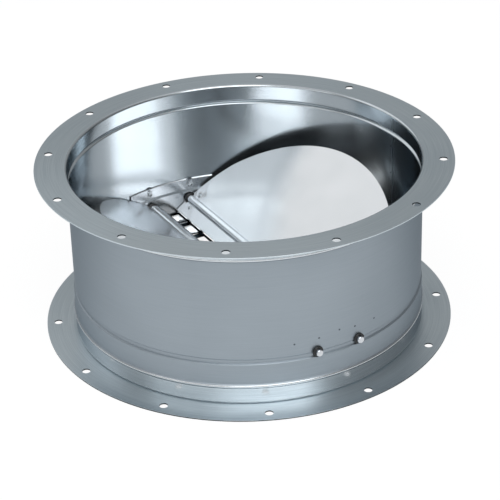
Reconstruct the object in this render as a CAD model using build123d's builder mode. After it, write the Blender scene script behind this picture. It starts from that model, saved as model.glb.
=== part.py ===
from build123d import *
from math import asin, cos, degrees, radians, sin, sqrt, tan
import os

# Round duct backdraft damper with two half-disc blades. Millimetres, +Z up.
# The origin is the centre of the lower flange's face, and both shafts run along X.
# The blades stand part open, as they are shown: the right one on +Y, the left one on -Y.

# Casing tube
bore_radius = 200.0
casing_height = 200.0
casing_sheet = 1.5
tube_end_gap = 0.2
bead_width = 5.0
bead_from_collar = 1.0
bead_height = 1.6
bead_bend_radius = 1.3
lower_band_step = 1.0
groove_depth = 1.2
groove_width = 7.0
groove_flat = 2.6
lap_clearance = 0.1
seam_width = 0.8
seam_depth = 0.4
seam_end_margin = 3.0

# Flanges, rolled from angle
flange_sheet = 1.5
flange_bend_radius = 3.0
flange_width = 37.0
flange_collar_length = 19.0
bolt_edge_distance = 13.0
bolt_hole_diameter = 9.5
bolt_hole_count = 12
upper_hole_turn = -4.0
lower_hole_turn = 6.3

# Shafts and bushes
axis_height = 56.0
shaft_offset = 26.0
shaft_diameter = 8.0
shaft_protrusion = 4.0
shaft_end_chamfer = 0.5
running_clearance = 0.05
bush_wall = 1.15
bush_hole_clearance = 0.05
bush_head_rim = 1.1
bush_head_thickness = 1.6
bush_head_chamfer = 0.4
bush_collar_rim = 1.5
bush_collar_length = 3.2
bush_collar_lead = 1.0
bush_seat_clearance = 0.1

# Bearing plates, spot-welded inside the wall, with a stop tab for each blade
plate_sheet = 1.5
plate_half_angle = 16.5
plate_below_shaft = 16.0
plate_above_shaft = 26.0
plate_joggle_above_shaft = 12.0
plate_joggle_rise = 3.0
plate_edge_chamfer = 1.0
tab_sheet = 1.5
tab_reach = 10.0
tab_height = 6.0
tab_gap = 0.3
open_stop_angle = 80.0

# Blades, half discs that run past their shaft to the middle of the duct
blade_sheet = 1.2
blade_side_gap = 4.5
blade_tip_gap = 14.5
blade_tip_flattening = 10.5
blade_tail_gap = 4.5
blade_bend_radius = 1.2
grip_clearance = 0.02
bush_notch_side_gap = 1.3
bush_notch_gap = 0.8
right_rest_angle = 38.0
left_rest_angle = 33.0

# Shaft clamps, riveted under each blade
clamp_sheet = 1.2
clamp_width = 12.0
clamp_end_inset = 11.0
rivet_from_shaft = 5.7
clamp_past_rivet = 3.8
rivet_diameter = 3.0
rivet_head_diameter = 5.4
rivet_head_height = 1.1
rivet_hole_clearance = 0.05

# Seat strips that the closed blades lie on
seat_sheet = 1.5
seat_overlap = 4.5
seat_drop = 14.0
seat_bend_radius = 2.0
seat_gap = 0.3
seat_end_angle = 19.5

# Slotted centre bar
bar_sheet = 1.5
bar_width = 24.0
bar_tail_gap = 2.18
bar_tab_drop = 12.0
bar_bend_radius = 2.0
bar_wall_gap = 0.1
slot_pitch = 33.0
slot_rung = 8.0
slot_edge = 2.3
slot_corner = 0.6

# The outlines that follow from the bore
flange_radius = bore_radius + flange_width
bolt_circle = 2 * (flange_radius - bolt_edge_distance)
blade_radius = bore_radius - blade_side_gap
blade_tip_radius = blade_radius + blade_tip_flattening
blade_tip_reach = bore_radius - blade_tip_gap
blade_tail = shaft_offset - blade_tail_gap
seat_inner_radius = blade_tip_reach - seat_overlap

# Where the tube ends under each flange's bend, and where its beads stand
tube_end_inset = flange_bend_radius + tube_end_gap
bead_from_face = flange_collar_length + bead_from_collar + bead_width / 2

# Mid-sheet radii of the casing's bands
main_mid = bore_radius + casing_sheet / 2
band_mid = main_mid + lower_band_step
groove_mid = main_mid - groove_depth
end_mid = bore_radius + flange_sheet + lap_clearance + casing_sheet / 2

# Radii about a shaft
bush_bore_radius = shaft_diameter / 2 + running_clearance
bush_body_radius = bush_bore_radius + bush_wall
bush_head_radius = bush_body_radius + bush_head_rim
bush_collar_radius = bush_body_radius + bush_collar_rim
bush_hole_radius = bush_body_radius + bush_hole_clearance
grip_radius = shaft_diameter / 2 + grip_clearance


def chord(radius, offset):
    """Half length that a circle of this radius leaves along the shaft at an offset."""
    return sqrt(radius**2 - offset**2)


# Where each bush lies along its shaft, and how far in the blade must end
plate_inner_radius = groove_mid - casing_sheet / 2 - lap_clearance - plate_sheet
head_seat = chord(bore_radius + casing_sheet, shaft_offset - bush_head_radius) + bush_seat_clearance
head_face = head_seat + bush_head_thickness
collar_seat = chord(plate_inner_radius, shaft_offset + bush_collar_radius) - bush_seat_clearance
bush_inner_end = collar_seat - bush_collar_length
blade_half_length = bush_inner_end - bush_notch_gap
clamp_end = blade_half_length - clamp_end_inset
rivet_row = shaft_diameter / 2 + rivet_from_shaft
clamp_half_span = rivet_row + clamp_past_rivet
rivet_places = [(x, y) for x in (-clamp_end, 0, clamp_end) for y in (-rivet_row, rivet_row)]

os.makedirs("parts", exist_ok=True)


def bent_sheet(points, radius, thickness):
    """Add to the open sketch a sheet of even thickness about a middle line."""
    with BuildLine(mode=Mode.PRIVATE) as middle:
        FilletPolyline(*points, radius=radius)
    trace(middle.line, line_width=thickness)


def saddle_sheet(back, front, sheet):
    """Add a flat sheet pressed up over the shaft, from -back to +front, resting on y = 0."""
    bend = blade_bend_radius + sheet / 2
    crown = grip_radius + sheet / 2
    turn = 90 - degrees(asin((sheet / 2 + bend) / (crown + bend)))
    foot = chord(crown + bend, sheet / 2 + bend)
    with BuildLine(mode=Mode.PRIVATE) as middle:
        rear = Line((-back, sheet / 2), (-foot, sheet / 2))
        rise = JernArc(rear @ 1, rear % 1, bend, turn)
        over = JernArc(rise @ 1, rise % 1, crown, -2 * turn)
        fall = JernArc(over @ 1, over % 1, bend, turn)
        Line(fall @ 1, (front, sheet / 2))
    trace(middle.line, line_width=sheet)


def turned_section(angle):
    """The plane through Z at an angle, for a profile revolved part of a turn."""
    a = radians(angle)
    return Plane(origin=(0, 0, 0), x_dir=(cos(a), sin(a), 0), z_dir=(sin(a), -cos(a), 0))


def blade_place(side, opening):
    """A blade's own plane: x along the shaft, y out from the middle, z the blade's upper side."""
    a = radians(opening)
    origin = (0, side * shaft_offset, axis_height)
    return Plane(origin=origin, x_dir=(side, 0, 0), z_dir=(0, -side * sin(a), cos(a)))


def across(place, upside):
    """The plane across a shaft: x out from the middle, y to the blade's upper or lower side."""
    return Plane(origin=place.origin, x_dir=place.y_dir, z_dir=place.x_dir * upside)


def save(part, name):
    part.label = name
    export_step(part, f"parts/{name}.step")


with BuildPart() as casing_tube:
    bead_half = bead_width / 2
    upper_bead = casing_height - bead_from_face
    groove_top = axis_height
    groove_bottom = groove_top - groove_width
    groove_slope = (groove_width - groove_flat) / 2
    with BuildSketch(Plane.XZ):
        bent_sheet(
            [
                (end_mid, tube_end_inset),
                (end_mid, bead_from_face - bead_half),
                (end_mid + bead_height, bead_from_face),
                (band_mid, bead_from_face + bead_half),
                (band_mid, groove_bottom),
                (groove_mid, groove_bottom + groove_slope),
                (groove_mid, groove_top - groove_slope),
                (main_mid, groove_top),
                (main_mid, upper_bead - bead_half),
                (end_mid + bead_height, upper_bead),
                (end_mid, upper_bead + bead_half),
                (end_mid, casing_height - tube_end_inset),
            ],
            [0, bead_bend_radius, 0, 0, 0, 0, 0, 0, bead_bend_radius, 0],
            casing_sheet,
        )
    revolve(axis=Axis.Z)
    with BuildSketch(Plane.YZ):
        with Locations((-shaft_offset, axis_height), (shaft_offset, axis_height)):
            Circle(bush_hole_radius)
    extrude(amount=flange_radius, both=True, mode=Mode.SUBTRACT)
    for mid, low, high in (
        (band_mid, bead_from_face + bead_half, groove_bottom),
        (main_mid, groove_top, upper_bead - bead_half),
    ):
        with BuildSketch(Plane.XY.offset(low + seam_end_margin)):
            with Locations((0, mid - casing_sheet / 2), (0, mid + casing_sheet / 2)):
                Rectangle(seam_width, 2 * seam_depth)
        extrude(amount=high - low - 2 * seam_end_margin, mode=Mode.SUBTRACT)
save(casing_tube.part, "casing_tube")


def make_flange(name, face_height, inward, hole_turn):
    """A flange rolled from angle: face out, collar reaching inward along the tube."""
    with BuildPart() as flange:
        leg = face_height + inward * flange_sheet / 2
        collar_end = face_height + inward * flange_collar_length
        with BuildSketch(Plane.XZ):
            bent_sheet(
                [
                    (flange_radius, leg),
                    (bore_radius + flange_sheet / 2, leg),
                    (bore_radius + flange_sheet / 2, collar_end),
                ],
                flange_bend_radius - flange_sheet / 2,
                flange_sheet,
            )
        revolve(axis=Axis.Z)
        with BuildSketch(Plane.XY.offset(leg)):
            with PolarLocations(bolt_circle / 2, bolt_hole_count, start_angle=hole_turn):
                Circle(bolt_hole_diameter / 2)
        extrude(amount=flange_sheet, both=True, mode=Mode.SUBTRACT)
        with BuildSketch(Plane.XY.offset(collar_end)):
            with Locations((0, bore_radius + flange_sheet / 2)):
                Rectangle(seam_width, 2 * flange_sheet)
        extrude(amount=-inward * (flange_collar_length - flange_bend_radius), mode=Mode.SUBTRACT)
    save(flange.part, name)


make_flange("upper_flange", casing_height, -1, upper_hole_turn)
make_flange("lower_flange", 0, 1, lower_hole_turn)


def make_bearing_plate(name, end):
    """A curved plate that carries one end of both shafts, at +X or -X."""
    with BuildPart() as plate:
        lower_mid = plate_inner_radius + plate_sheet / 2
        upper_mid = bore_radius - lap_clearance - plate_sheet / 2
        plate_bottom = axis_height - plate_below_shaft
        plate_joggle = axis_height + plate_joggle_above_shaft
        start = -plate_half_angle if end > 0 else 180 - plate_half_angle
        with BuildSketch(turned_section(start)):
            bent_sheet(
                [
                    (lower_mid, plate_bottom),
                    (lower_mid, plate_joggle - plate_joggle_rise),
                    (upper_mid, plate_joggle),
                    (upper_mid, axis_height + plate_above_shaft),
                ],
                0,
                plate_sheet,
            )
        revolve(axis=Axis.Z, revolution_arc=2 * plate_half_angle)
        upper_edges = plate.edges().filter_by(GeomType.CIRCLE).group_by(Axis.Z)[-1]
        chamfer(upper_edges.sort_by(SortBy.RADIUS)[0], plate_edge_chamfer)
        tab_top = plate_bottom + tab_height
        tab_face = shaft_offset - (axis_height - tab_top) / tan(radians(open_stop_angle)) + tab_gap
        tab_mid = tab_face + tab_sheet / 2
        tab_root = chord(lower_mid, tab_mid)
        tab_tip = plate_inner_radius - tab_reach
        with BuildSketch(Plane.XY.offset(plate_bottom)):
            with Locations(*[(end * (tab_root + tab_tip) / 2, side * tab_mid) for side in (-1, 1)]):
                Rectangle(tab_root - tab_tip, tab_sheet)
        extrude(amount=tab_height)
        with BuildSketch(Plane.YZ):
            with Locations((-shaft_offset, axis_height), (shaft_offset, axis_height)):
                Circle(bush_hole_radius)
        extrude(amount=end * bore_radius, mode=Mode.SUBTRACT)
    save(plate.part, name)


make_bearing_plate("front_bearing_plate", 1)
make_bearing_plate("rear_bearing_plate", -1)


def make_seat(name, side):
    """An angle strip under one closed blade, held by the wall's inward groove."""
    with BuildPart() as seat:
        leg_mid = groove_mid - casing_sheet / 2 - lap_clearance - seat_sheet / 2
        top_mid = axis_height - seat_gap - seat_sheet / 2
        start = seat_end_angle if side > 0 else 180 + seat_end_angle
        with BuildSketch(turned_section(start)):
            bent_sheet(
                [(seat_inner_radius, top_mid), (leg_mid, top_mid), (leg_mid, top_mid - seat_drop)],
                seat_bend_radius,
                seat_sheet,
            )
        revolve(axis=Axis.Z, revolution_arc=180 - 2 * seat_end_angle)
    save(seat.part, name)


make_seat("right_seat_strip", 1)
make_seat("left_seat_strip", -1)

with BuildPart() as centre_bar:
    bar_top = axis_height - chord(blade_tail, shaft_offset - bar_width / 2) - bar_tail_gap
    bar_mid = bar_top - bar_sheet / 2
    bar_end = chord(band_mid - casing_sheet / 2, bar_width / 2) - bar_wall_gap - bar_sheet / 2
    with BuildSketch(Plane.XZ):
        bent_sheet(
            [
                (-bar_end, bar_top - bar_tab_drop),
                (-bar_end, bar_mid),
                (bar_end, bar_mid),
                (bar_end, bar_top - bar_tab_drop),
            ],
            bar_bend_radius,
            bar_sheet,
        )
    extrude(amount=bar_width / 2, both=True)
    with BuildSketch(Plane.XY.offset(bar_mid)):
        slot_count = int(2 * bar_end / slot_pitch)
        with GridLocations(slot_pitch, 0, slot_count, 1):
            RectangleRounded(slot_pitch - slot_rung, bar_width - 2 * slot_edge, slot_corner)
    extrude(amount=bar_sheet, both=True, mode=Mode.SUBTRACT)
save(centre_bar.part, "centre_bar")


def make_bush(name, end, side):
    """A snap-in plastic bush: head outside the wall, collar inside the bearing plate."""
    with BuildPart() as bush:
        section = Plane(origin=(0, side * shaft_offset, axis_height), x_dir=(end, 0, 0), z_dir=(0, 1, 0))
        with BuildSketch(section):
            with BuildLine():
                Polyline(
                    (bush_inner_end, bush_bore_radius),
                    (bush_inner_end, bush_collar_radius - bush_collar_lead),
                    (bush_inner_end + bush_collar_lead, bush_collar_radius),
                    (collar_seat, bush_collar_radius),
                    (collar_seat, bush_body_radius),
                    (head_seat, bush_body_radius),
                    (head_seat, bush_head_radius),
                    (head_face - bush_head_chamfer, bush_head_radius),
                    (head_face, bush_head_radius - bush_head_chamfer),
                    (head_face, bush_bore_radius),
                    close=True,
                )
            make_face()
        revolve(axis=Axis(section.origin, section.x_dir))
    save(bush.part, name)


for end_name, end in (("front", 1), ("rear", -1)):
    for side_name, side in (("left", -1), ("right", 1)):
        make_bush(f"{end_name}_{side_name}_bush", end, side)

with BuildPart() as rivet:
    with BuildSketch(Plane.XZ):
        with BuildLine():
            top = TangentArc(
                (0, blade_sheet + rivet_head_height),
                (rivet_head_diameter / 2, blade_sheet),
                tangent=(1, 0),
            )
            foot = TangentArc(
                (0, -clamp_sheet - rivet_head_height),
                (rivet_head_diameter / 2, -clamp_sheet),
                tangent=(1, 0),
            )
            Polyline(
                top @ 1,
                (rivet_diameter / 2, blade_sheet),
                (rivet_diameter / 2, -clamp_sheet),
                foot @ 1,
            )
            Line(top @ 0, foot @ 0)
        make_face()
    revolve(axis=Axis.Z)


def make_blade_set(side_name, side, opening):
    """One blade with its shaft, clamps and rivets, at its opening in the photographed state."""
    place = blade_place(side, opening)
    middle = -shaft_offset
    tip_centre = middle + blade_tip_reach - blade_tip_radius
    hole_radius = rivet_diameter / 2 + rivet_hole_clearance

    with BuildPart() as blade:
        with BuildSketch(across(place, 1)):
            saddle_sheet(blade_tail, blade_tip_reach, blade_sheet)
        extrude(amount=blade_radius, both=True)
        with BuildSketch(place):
            with Locations((0, middle)):
                Circle(blade_radius)
            with Locations((0, tip_centre)):
                Circle(blade_tip_radius, mode=Mode.INTERSECT)
            notch = blade_radius - blade_half_length
            notch_width = 2 * (bush_collar_radius + bush_notch_side_gap)
            with Locations(*[(e * (blade_half_length + notch / 2), 0) for e in (-1, 1)]):
                Rectangle(notch, notch_width, mode=Mode.SUBTRACT)
            with Locations(*rivet_places):
                Circle(hole_radius, mode=Mode.SUBTRACT)
        extrude(amount=shaft_diameter, both=True, mode=Mode.INTERSECT)
    save(blade.part, f"{side_name}_blade")

    with BuildPart() as shaft:
        with BuildSketch(across(place, 1)):
            Circle(shaft_diameter / 2)
        extrude(amount=head_face + shaft_protrusion, both=True)
        chamfer(shaft.edges().filter_by(GeomType.CIRCLE), shaft_end_chamfer)
    save(shaft.part, f"{side_name}_shaft")

    for clamp_name, x in (("front", side * clamp_end), ("middle", 0), ("rear", -side * clamp_end)):
        with BuildPart() as clamp:
            with BuildSketch(across(place, -1).offset(-x)):
                saddle_sheet(clamp_half_span, clamp_half_span, clamp_sheet)
            extrude(amount=clamp_width / 2, both=True)
            with BuildSketch(place):
                with Locations((x, -rivet_row), (x, rivet_row)):
                    Circle(hole_radius)
            extrude(amount=-2 * clamp_sheet, mode=Mode.SUBTRACT)
        save(clamp.part, f"{side_name}_{clamp_name}_clamp")

    with BuildPart() as rivets:
        with Locations(place):
            with Locations(*rivet_places):
                add(rivet.part)
    save(rivets.part, f"{side_name}_clamp_rivets")


make_blade_set("right", 1, right_rest_angle)
make_blade_set("left", -1, left_rest_angle)
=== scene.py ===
"""Dresses the duct backdraft damper and sets its studio.

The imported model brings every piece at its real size. This script gives each piece its finish, rolls
the casing and its flanges again with true bends, adds the marks that welding leaves on the sheet, and
lights the damper on a pale floor. Lengths are in metres, in the frame of the model: +Z up, both
shafts along X, the lower flange's face at z = 0.
"""

import logging
import math
from dataclasses import dataclass, field
from enum import Enum

import bmesh
import bpy
from bpy.types import ID, Material, Node, NodeSocket, NodeTree, Object
from mathutils import Matrix, Vector


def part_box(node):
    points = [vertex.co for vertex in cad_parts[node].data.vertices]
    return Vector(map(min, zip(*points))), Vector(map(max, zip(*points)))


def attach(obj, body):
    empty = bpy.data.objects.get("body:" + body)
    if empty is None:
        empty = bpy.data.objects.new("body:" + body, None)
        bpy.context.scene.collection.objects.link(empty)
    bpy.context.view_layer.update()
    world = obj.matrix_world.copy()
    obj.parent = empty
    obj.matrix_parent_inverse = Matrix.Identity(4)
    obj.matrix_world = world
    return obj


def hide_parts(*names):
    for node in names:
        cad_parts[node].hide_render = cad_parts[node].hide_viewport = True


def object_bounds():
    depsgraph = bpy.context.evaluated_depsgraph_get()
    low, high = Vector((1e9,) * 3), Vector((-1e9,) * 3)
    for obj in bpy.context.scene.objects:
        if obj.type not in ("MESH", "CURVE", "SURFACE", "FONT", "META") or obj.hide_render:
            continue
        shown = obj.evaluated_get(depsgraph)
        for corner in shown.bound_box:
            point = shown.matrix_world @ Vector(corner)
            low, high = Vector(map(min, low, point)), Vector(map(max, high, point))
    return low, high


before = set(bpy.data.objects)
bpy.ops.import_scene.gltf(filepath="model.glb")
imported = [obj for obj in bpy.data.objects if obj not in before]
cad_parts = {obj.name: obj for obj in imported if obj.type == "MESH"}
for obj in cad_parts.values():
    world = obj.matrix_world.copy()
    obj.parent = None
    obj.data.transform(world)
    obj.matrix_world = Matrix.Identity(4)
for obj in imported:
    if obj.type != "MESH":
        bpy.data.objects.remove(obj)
bpy.context.view_layer.update()
cad_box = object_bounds()

log = logging.getLogger("damper")
MM = 0.001
# Along the shafts, but turned a little, so that a face square to them still has a direction across it
NEARLY_X = (1.0, 0.03, 0.05)
# Radius at which the lines that run round the duct have the length that a finish gives them
LINE_RADIUS = 200 * MM
# Turns the drawn-out reflection across a direction; its rotation counts in whole turns
QUARTER_TURN = 0.25
# How fine and how rough each noise pattern's detail is
CLOUD_NOISE = {"Detail": 1.5, "Roughness": 0.5}
LINE_NOISE = {"Scale": 1.0, "Detail": 3.0, "Roughness": 0.65}
GRIT_NOISE = {"Detail": 2.0}


class Coordinates(Enum):
    """Which texture coordinates a pattern is laid out in."""

    OBJECT = "Object"
    GENERATED = "Generated"
    NORMAL = "Normal"


class Grain(Enum):
    """Which way the rolling or drawing lines of a metal run."""

    NONE = "none"
    AROUND = "around the duct's axis"
    ALONG_X = "along the shafts"


def linear(hex_colour: str) -> tuple[float, float, float, float]:
    """Turn an sRGB hex colour into Blender's linear colour.

    Args:
        hex_colour: Six hex digits, with or without a leading hash.

    Returns:
        Red, green, blue and alpha, in linear light.
    """
    digits = hex_colour.lstrip("#")
    channels = []
    for start in (0, 2, 4):
        value = int(digits[start:start + 2], 16) / 255
        channels.append(value / 12.92 if value <= 0.04045 else ((value + 0.055) / 1.055) ** 2.4)
    return (*channels, 1.0)


def add_node(
    tree: NodeTree,
    kind: str,
    settings: dict | None = None,
    inputs: dict | None = None,
) -> Node:
    """Add one shader node, set it up and link its inputs.

    Args:
        tree: The node tree that takes the node.
        kind: The node's type name in Blender.
        settings: Properties of the node itself.
        inputs: For each input, by name or number, a value or the output socket that feeds it.

    Returns:
        The new node.
    """
    node = tree.nodes.new(kind)
    for name, value in (settings or {}).items():
        setattr(node, name, value)
    for name, value in (inputs or {}).items():
        if isinstance(value, NodeSocket):
            tree.links.new(value, node.inputs[name])
        else:
            node.inputs[name].default_value = value
    return node


def new_material(name: str) -> Material:
    """Make a material with an empty node tree.

    Args:
        name: The material's name.

    Returns:
        The new material.
    """
    made = bpy.data.materials.new(name)
    made.use_nodes = True
    made.node_tree.nodes.clear()
    return made


def into_scene(name: str, data: ID) -> Object:
    """Put a mesh, a lamp or a camera into the scene.

    Args:
        name: The object's name.
        data: The mesh, lamp or camera.

    Returns:
        The new object.
    """
    made = bpy.data.objects.new(name, data)
    bpy.context.scene.collection.objects.link(made)
    return made


def from_shape(name: str, shape: bmesh.types.BMesh) -> Object:
    """Turn a finished shape into an object of the scene, and free it.

    Args:
        name: The object's name.
        shape: The finished shape.

    Returns:
        The new object.
    """
    mesh = bpy.data.meshes.new(name)
    shape.to_mesh(mesh)
    shape.free()
    return into_scene(name, mesh)


def toward(azimuth: float, elevation: float) -> Vector:
    """Point in a direction, as seen from the damper.

    Args:
        azimuth: Degrees from +X towards +Y.
        elevation: Degrees above the floor.

    Returns:
        A vector of length 1.
    """
    turn, rise = math.radians(azimuth), math.radians(elevation)
    return Vector((math.cos(rise) * math.cos(turn), math.cos(rise) * math.sin(turn), math.sin(rise)))


@dataclass(frozen=True)
class SheetMetal:
    """Rolled or drawn metal: a satin reflection drawn out across fine grain lines."""

    name: str
    colour: str
    worn_colour: str
    edge_tint: str
    roughness: float
    anisotropy: float
    grain: Grain
    grain_width_mm: float
    grain_length_mm: float
    grain_depth: float
    cloud_mm: float
    cloud_depth: float
    metallic: float = 1.0
    line_contrast: float = 0.0
    # The part of each pattern's range that is drawn out to its full contrast
    line_range: tuple[float, float] = (0.38, 0.62)
    cloud_range: tuple[float, float] = (0.2, 0.8)
    grain_height_mm: float = 0.02
    # How far a face may lean, as the height of its normal, and still count as upright
    upright_within: float = 0.5

    def material(self) -> Material:
        """Build the node material.

        Returns:
            The finished material.
        """
        made = new_material(self.name)
        tree = made.node_tree
        place = add_node(tree, "ShaderNodeTexCoord").outputs[Coordinates.OBJECT.value]
        lines = self.grain_lines(tree, place)
        clouds = add_node(
            tree, "ShaderNodeTexNoise", {"noise_dimensions": "3D"},
            {"Vector": place, "Scale": 1 / (self.cloud_mm * MM), **CLOUD_NOISE},
        ).outputs["Fac"]
        spread = self.cloud_depth / 2
        thin, thick = self.cloud_range
        uneven = add_node(
            tree, "ShaderNodeMapRange", {"interpolation_type": "SMOOTHSTEP"},
            {"Value": clouds, "From Min": thin, "From Max": thick, "To Min": -spread, "To Max": spread},
        ).outputs["Result"]
        rough_clouds = add_node(
            tree, "ShaderNodeMath", {"operation": "ADD"}, {0: uneven, 1: self.base_roughness(tree)},
        ).outputs[0]
        rough = add_node(
            tree, "ShaderNodeMath", {"operation": "MULTIPLY_ADD"},
            {0: lines, 1: self.grain_depth, 2: rough_clouds},
        ).outputs[0]
        bump = add_node(
            tree, "ShaderNodeBump", None,
            {"Height": lines, "Strength": self.grain_depth, "Distance": self.grain_height_mm * MM},
        ).outputs["Normal"]
        shader_inputs = {
            "Base Color": self.base_colour(tree, self.wear(tree, clouds, lines)),
            "Metallic": self.metallic,
            "Roughness": rough,
            "Normal": bump,
            "Specular Tint": linear(self.edge_tint),
            "Anisotropic": self.anisotropy,
        }
        if self.grain is Grain.AROUND:
            tangent = add_node(tree, "ShaderNodeTangent", {"direction_type": "RADIAL", "axis": "Z"})
            shader_inputs["Tangent"] = tangent.outputs["Tangent"]
            shader_inputs["Anisotropic Rotation"] = QUARTER_TURN
        elif self.grain is Grain.ALONG_X:
            facing = add_node(tree, "ShaderNodeNewGeometry").outputs["Normal"]
            tangent = add_node(
                tree, "ShaderNodeVectorMath", {"operation": "CROSS_PRODUCT"}, {0: facing, 1: NEARLY_X},
            )
            shader_inputs["Tangent"] = tangent.outputs["Vector"]
        shader = add_node(tree, "ShaderNodeBsdfPrincipled", None, shader_inputs)
        add_node(tree, "ShaderNodeOutputMaterial", None, {"Surface": shader.outputs["BSDF"]})
        return made

    def wear(self, tree: NodeTree, clouds: NodeSocket, lines: NodeSocket) -> NodeSocket:
        """Draw the grain lines into the clouds, as strongly as the line contrast says.

        Args:
            tree: The material's node tree.
            clouds: A soft 0 to 1 pattern.
            lines: The fine 0 to 1 pattern along the grain.

        Returns:
            The socket of a 0 to 1 pattern of wear.
        """
        faint, strong = self.line_range
        sharpened = add_node(
            tree, "ShaderNodeMapRange", None, {"Value": lines, "From Min": faint, "From Max": strong},
        ).outputs["Result"]
        return add_node(
            tree, "ShaderNodeMix", {"data_type": "FLOAT"}, {0: self.line_contrast, 2: clouds, 3: sharpened},
        ).outputs[0]

    def base_colour(self, tree: NodeTree, worn: NodeSocket) -> NodeSocket:
        """Blend the clean and the worn colour.

        Args:
            tree: The material's node tree.
            worn: A 0 to 1 pattern of wear.

        Returns:
            The socket of the colour.
        """
        return add_node(
            tree, "ShaderNodeMix", {"data_type": "RGBA"},
            {0: worn, 6: linear(self.colour), 7: linear(self.worn_colour)},
        ).outputs[2]

    def base_roughness(self, tree: NodeTree) -> NodeSocket | float:
        """Give the even part of the roughness, a number or a socket."""
        return self.roughness

    def upright(self, tree: NodeTree) -> NodeSocket:
        """Find the faces that stand upright.

        Args:
            tree: The material's node tree.

        Returns:
            The socket of a mask that is 1 on an upright face.
        """
        normal = add_node(tree, "ShaderNodeTexCoord").outputs[Coordinates.NORMAL.value]
        facing = add_node(tree, "ShaderNodeSeparateXYZ", None, {"Vector": normal}).outputs["Z"]
        return add_node(
            tree, "ShaderNodeMath", {"operation": "COMPARE"}, {0: facing, 1: 0.0, 2: self.upright_within},
        ).outputs[0]

    def grain_lines(self, tree: NodeTree, place: NodeSocket) -> NodeSocket:
        """Lay out the fine lines that rolling or drawing leaves.

        Args:
            tree: The material's node tree.
            place: The object coordinates.

        Returns:
            The socket of a 0 to 1 value, long along the grain and short across it.
        """
        along, across = 1 / (self.grain_length_mm * MM), 1 / (self.grain_width_mm * MM)
        if self.grain is Grain.AROUND:
            parts = add_node(tree, "ShaderNodeSeparateXYZ", None, {"Vector": place}).outputs
            turn = add_node(tree, "ShaderNodeMath", {"operation": "ARCTAN2"}, {0: parts["Y"], 1: parts["X"]})
            reach = add_node(tree, "ShaderNodeVectorMath", {"operation": "LENGTH"}, {0: place})
            spun = add_node(
                tree, "ShaderNodeCombineXYZ", None,
                {"X": turn.outputs[0], "Y": parts["Z"], "Z": reach.outputs["Value"]},
            )
            place = spun.outputs["Vector"]
            scale = (along * LINE_RADIUS, across, across)
        elif self.grain is Grain.ALONG_X:
            scale = (along, across, across)
        else:
            scale = (across, across, across)
        stretched = add_node(
            tree, "ShaderNodeVectorMath", {"operation": "MULTIPLY"}, {0: place, 1: scale},
        ).outputs["Vector"]
        return add_node(
            tree, "ShaderNodeTexNoise", {"noise_dimensions": "3D"},
            {"Vector": stretched, **LINE_NOISE},
        ).outputs["Fac"]


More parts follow.
